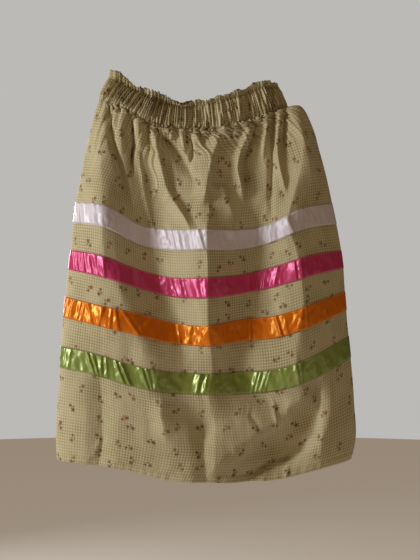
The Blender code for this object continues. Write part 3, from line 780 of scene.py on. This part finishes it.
# profile of each ribbon, which lies in flat facets between its creases: place across of a crease
# at the ribbon's middle, how far it leans to the right from top to bottom, how far it stands out
CREASE = {
    "white": [(-232, 3, 0.3), (-221, 3, 2.5), (-218, 3, 0.3), (-210, 3, 2.5), (-207, 3, 1.4),
              (-198, 3, 0.3), (-194, 4, 0.3), (-191, 4, 2.8), (-184, 4, 0.3), (-178, 4, 0.3),
              (-64, 14, 0.3), (-58, 14, 0.3), (-46, 18, 1.8), (-42, 14, 0.3), (-35, 8, 1.5),
              (-31, 8, 0.3), (-22, 6, 2.0), (-18, 6, 0.3), (-13, 8, 1.6), (-4, 8, 0.3),
              (20, 12, 5.1), (24, 10, 0.3), (130, -8, 0.3), (133, -8, 3.0), (152, -8, 0.3),
              (155, 6, 4.6), (168, 6, 0.3), (176, 10, 0.6), (180, 12, 0.3), (192, 14, 4.7),
              (196, 8, 0.3)],
    "pink": [(-236, 4, 0.3), (-233, 4, 2.5), (-229, 4, 0.3), (-226, 4, 2.5), (-222, 4, 0.3),
             (-219, 4, 2.5), (-215, 4, 0.3), (-212, 4, 2.5), (-208, 4, 0.3), (-198, 9, 1.9),
             (-194, 8, 0.3), (-186, 8, 1.9), (-182, 6, 0.3), (-170, 3, 3.9), (-166, 0, 0.3),
             (-58, 12, 0.3), (-44, 12, 0.3), (-40, 14, 0.3), (-34, 14, 1.5), (-32, 12, 0.3),
             (-30, 10, 0.3), (-20, 10, 2.1), (-16, 8, 0.3), (-13, 10, 1.1), (-10, 10, 0.3),
             (-8, 12, 0.3), (14, 12, 1.8), (17, 8, 1.1), (20, 8, 0.3), (28, 4, 1.5), (32, 2, 0.3),
             (114, 8, 0.3), (121, 8, 3.2), (124, 8, 0.3), (128, 8, 3.2), (132, 4, 0.3),
             (140, -6, 0.3), (143, -6, 3.8), (156, -6, 0.3), (158, -10, 0.3), (168, -10, 2.7),
             (172, -6, 0.3), (192, 2, 0.3), (194, 4, 0.3), (204, 4, 3.3), (206, 4, 0.3),
             (214, 6, 3.5), (218, 4, 0.3)],
    "orange": [(-252, -10, 0.3), (-249, -10, 3.0), (-240, -10, 0.3), (-237, -10, 3.0),
               (-228, -10, 0.3), (-221, -10, 1.9), (-218, -10, 0.3), (-214, -10, 1.9),
               (-210, -8, 0.3), (-198, 10, 2.6), (-194, 8, 0.3), (-176, -12, 4.4),
               (-172, -12, 0.3), (-162, -4, 0.3), (-157, -4, 2.4), (-153, 0, 0.3), (-145, 4, 3.2),
               (-141, 10, 0.3), (-126, 30, 0.3), (-118, 34, 3.5), (-114, 34, 0.3), (-36, 6, 0.3),
               (-30, 6, 0.3), (-24, 6, 2.7), (-20, 4, 0.3), (-12, -4, 0.3), (-2, -8, 2.6),
               (2, -4, 0.3), (16, 12, 2.0), (20, 14, 0.3), (23, 18, 0.7), (30, 18, 0.3),
               (36, 6, 0.3), (96, 2, 0.3), (106, 2, 0.3), (116, 2, 4.4), (120, 0, 0.3),
               (128, 8, 0.3), (156, 8, 0.3), (172, 14, 5.2), (176, 10, 0.3), (186, 12, 2.3),
               (190, 2, 0.3), (208, -8, 0.3), (214, -12, 2.8), (218, 0, 0.3), (224, 6, 2.9),
               (228, 4, 0.3)],
    "green": [(-260, -4, 0.3), (-252, -4, 1.8), (-249, -8, 0.3), (-240, -8, 2.2), (-236, -4, 0.3),
              (-206, 8, 0.3), (-197, 14, 4.1), (-194, 14, 0.3), (-188, 14, 4.1), (-184, 8, 0.3),
              (-176, 0, 3.6), (-172, 0, 0.3), (-166, 2, 2.8), (-162, 4, 0.3), (-150, 10, 0.3),
              (-139, 18, 4.8), (-136, 18, 0.3), (-128, 18, 4.8), (-124, 24, 0.3), (-98, 20, 0.3),
              (-90, 12, 3.5), (-87, 12, 0.3), (-82, 12, 3.5), (-78, 4, 0.3), (-68, -10, 4.4),
              (-64, -14, 0.3), (2, -10, 0.3), (14, -10, 5.2), (18, -8, 0.3), (22, -10, 0.3),
              (28, -10, 2.8), (32, -4, 0.3), (102, -6, 0.3), (114, -6, 0.3), (118, -12, 0.3),
              (125, -12, 3.2), (128, -12, 0.3), (132, -12, 3.2), (136, -12, 0.3), (143, -14, 3.1),
              (146, -14, 0.3), (150, -14, 3.1), (154, -16, 0.3), (156, 0, 0.3), (198, 0, 0.3),
              (200, 8, 0.3), (207, 8, 3.1), (210, 8, 0.3), (214, 8, 3.1), (218, -4, 0.3)],
}


FLOAT_PITCH = 0.0004         # metres


def satin(name, colour):
    """Satin weave: long glossy floats along the ribbon, softly crumpled, and crushed more finely
    in patches."""
    nodes = new_material(f"{name}_satin")
    uv = nodes.add("ShaderNodeUVMap", uv_map="cloth").outputs[0]
    axes = nodes.add("ShaderNodeSeparateXYZ", {0: uv})
    streak = nodes.noise(nodes.stretch(uv, (40.0, 900.0, 1.0)), 1.0)
    deeper = tuple(0.88 * c for c in colour)
    nodes.link(nodes.mix(streak, (*deeper, 1.0), (*colour, 1.0)), "Base Color")
    around = math.tau / FLOAT_PITCH
    floats = nodes.math("SINE", nodes.math("MULTIPLY", axes.outputs[1], around))
    crumple = nodes.noise(nodes.stretch(uv, (52.0, 26.0, 1.0)), 1.0, 1.0)
    finer = nodes.noise(nodes.stretch(uv, (120.0, 85.0, 1.0)), 1.0, 0.5)
    patches = nodes.ramp(nodes.noise(uv, 15.0, 1.0), 0.45, 0.60)
    soft = nodes.bump(crumple, 0.0036)
    soft = nodes.bump(nodes.math("MULTIPLY", finer, patches), 0.0024, soft)
    nodes.link(nodes.bump(nodes.math("ADD", floats, streak), 0.00001, soft), "Normal")
    nodes.link(nodes.ramp(streak, 0.3, 0.7, 0.31, 0.36), "Roughness")
    nodes.fix(IOR=1.9, Specular_IOR_Level=0.9, Specular_Tint=(*GLINT_COLOUR[name], 1.0),
              Anisotropic=0.55, Anisotropic_Rotation=0.25)
    return nodes.owner


# height and usual length of the crossing facets into which each ribbon is crushed
FACETS = {"white": (0.2, 22.0), "pink": (0.4, 22.0), "orange": (1.3, 21.0), "green": (1.7, 28.0)}


def puckers(drop, fractions, own_x, creases, facets, number, back):
    """Relief of a sewn ribbon: straight lines from crease to crease, each of which leans as it
    crosses the ribbon, over two low waves 0.02 length / 4 (1 + sin phase) and two crossing
    triangle waves |2 (run mod 1) - 1|, which come and go along it."""
    draw = np.random.default_rng(100 + 10 * number + back)
    across = ((drop - drop[0]) / RIBBON_WIDTH)[:, None]
    places, leans, heights = np.array(creases, float).T
    heights = heights * (draw.uniform(0.7, 1.1, len(heights)) if back else 1.0)
    relief = np.stack([np.interp(x, np.maximum.accumulate(places + lean_share * leans), heights)
                       for x, lean_share in zip(own_x, across[:, 0] - 0.5)])
    bulge = np.sin(math.pi * across) ** 0.5
    relief = relief * (0.75 + 0.25 * bulge)
    for low, high in ((26.0, 36.0), (56.0, 84.0)):
        length = draw.uniform(low, high)
        lean, phase = draw.uniform(-14.0, 14.0), draw.uniform(0.0, math.tau)
        along = fractions[None, :] * PANEL_WIDTH + lean * across
        relief += 0.02 * length / 4.0 * (1.0 + np.sin(math.tau * along / length + phase))
    x, y = fractions[None, :] * PANEL_WIDTH, RIBBON_WIDTH * across
    height, usual = facets
    for slope in (0.9, -0.6):
        length = usual * draw.uniform(0.87, 1.13)
        phase = draw.uniform(0.0, math.tau)
        run = (x + slope * y + 5.0 * np.sin(x / 19.0 + y / 11.0 + phase)) / length
        patch = 0.65 + 0.35 * np.sin(x / 31.0 + y / 23.0 + phase)
        relief += height * (0.4 + 0.6 * bulge) * patch * np.abs(2.0 * (run % 1.0) - 1.0)
    return relief * np.clip(np.minimum(fractions, 1.0 - fractions) / 0.04, 0.0, 1.0)[None, :]


THREAD_COLOUR = {
    "white": (0.66, 0.62, 0.64),
    "pink": (0.70, 0.26, 0.30),
    "orange": (0.80, 0.42, 0.18),
    "green": (0.30, 0.34, 0.13),
}
ribbon_fractions = np.linspace(0.0, 1.0, RIBBON_COLUMNS + 1)
for number, (name, colour) in enumerate(RIBBON_COLOUR.items()):
    material = satin(name, colour)
    sewing = thread(f"{name}_thread", THREAD_COLOUR[name])
    top = FIRST_RIBBON + RIBBON_PITCH * number
    drops = np.linspace(top, top + RIBBON_WIDTH, RIBBON_ROWS + 1)
    halves = [skirt_half(drops, ribbon_fractions, back) for back in (False, True)]
    for back, (plain, out) in enumerate(zip(halves, outward(*halves))):
        side = SIDES[back]
        lift = panel_relief(drops, ribbon_fractions, bool(back)) + RIBBON_LIFT + RIBBON_THICKNESS
        lift = lift + puckers(drops, ribbon_fractions, halves[0][:, :, 0], CREASE[name],
                              FACETS[name], number, back)
        points = plain + out * lift[:, :, None]
        u, v = np.meshgrid((ribbon_fractions + back) * PANEL_WIDTH, drops[-1] - drops)
        ribbon = add_grid(f"satin_{name}_{side}", points, np.stack([u, v], axis=2) * MM, material)
        thicken(ribbon, RIBBON_THICKNESS)
        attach(ribbon, "root")
        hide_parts(f"ribbon_{name}_{side}")
        for edge, row in (("top", SEWN_ROW), ("bottom", RIBBON_ROWS - SEWN_ROW)):
            low, share = int(row), row - int(row)
            line = points[low] * (1.0 - share) + points[low + 1] * share
            stitches(f"stitches_{name}_{edge}_{side}", line, out[low], sewing)

# ---------------------------------------------------------------- floor, lights and camera
# A plain pale floor below the hem, a large soft light from the left, a weak one from behind for
# the far side, and a level camera at the height of the middle of the skirt, placed in metres.
FLOOR_Z = -1.5
CAMERA_PLACE = (0.036, -2.4, -0.408)
CAMERA_WIDTH = 0.840         # what the picture's width covers at the skirt's middle plane
SENSOR_WIDTH = 36.0
FLOOR_RADIUS = 6.0
MIDDLE = (0.03, 0.0, -0.40)  # of the skirt, which the lights face
DAYLIGHT = (0.96, 0.98, 1.0)

radius, angle = np.meshgrid(np.linspace(0.0, FLOOR_RADIUS, 13),
                            np.linspace(0.0, math.tau, 65), indexing="ij")
floor_points = np.stack([radius * np.cos(angle), radius * np.sin(angle),
                         np.full_like(radius, FLOOR_Z)], axis=2)
pale_floor = new_material("pale_floor")
pale_floor.fix(Base_Color=(0.72, 0.70, 0.68, 1.0), Roughness=0.8,
               Emission_Color=(0.13, 0.12, 0.11, 1.0), Emission_Strength=1.0)
floor = add_grid("floor", floor_points / MM, floor_points[:, :, :2], pale_floor.owner)


def soft_light(name, place, size, power):
    """A rectangular area light that faces the middle of the skirt."""
    data = bpy.data.lights.new(name, "AREA")
    data.shape = "RECTANGLE"
    data.size, data.size_y = size
    data.energy = power
    data.color = DAYLIGHT
    lamp = bpy.data.objects.new(name, data)
    lamp.location = place
    away = np.array(MIDDLE) - np.array(place)
    across = math.hypot(away[0], away[1])
    lamp.rotation_euler = (math.atan2(across, -away[2]), 0.0, math.atan2(-away[0], away[1]))
    bpy.context.scene.collection.objects.link(lamp)


soft_light("key", (-1.95, -0.74, -0.04), (0.40, 0.8), 28.0)
soft_light("far_side", (-1.4, 2.0, 0.1), (0.8, 1.2), 24.0)

# the room glows softly, brighter from above and cooler from the right, before a plain backdrop
room = Nodes(bpy.data.worlds.new("studio"), "Background")
ways = room.add("ShaderNodeTexCoord").outputs["Generated"]
parts = room.add("ShaderNodeSeparateXYZ", {0: ways}).outputs
above = room.ramp(parts["Z"], 0.35, 1.0, way="LINEAR")
rightwards = room.ramp(parts["X"], 0.2, 1.0, way="LINEAR")
glow = room.mix(above, (0.137, 0.074, 0.020, 1.0), (0.40, 0.31, 0.20, 1.0))
room.link(room.mix(rightwards, glow, (0.060, 0.046, 0.030, 1.0)), "Color")
backdrop = room.add("ShaderNodeBackground", {"Color": (0.50, 0.49, 0.47, 1.0)}).outputs[0]
seen = room.add("ShaderNodeLightPath").outputs["Is Camera Ray"]
either = room.add("ShaderNodeMixShader", {0: seen, 1: room.shader.outputs[0], 2: backdrop})
room.tree.links.new(either.outputs[0], room.tree.nodes["World Output"].inputs["Surface"])
bpy.context.scene.world = room.owner

camera_data = bpy.data.cameras.new("camera")
camera_data.sensor_fit = "HORIZONTAL"
camera_data.sensor_width = SENSOR_WIDTH
camera_data.lens = SENSOR_WIDTH * -CAMERA_PLACE[1] / CAMERA_WIDTH
camera = bpy.data.objects.new("camera", camera_data)
camera.location = CAMERA_PLACE
camera.rotation_euler = (math.pi / 2.0, 0.0, 0.0)
bpy.context.scene.collection.objects.link(camera)
bpy.context.scene.camera = camera
bpy.context.scene.view_settings.view_transform = "Standard"
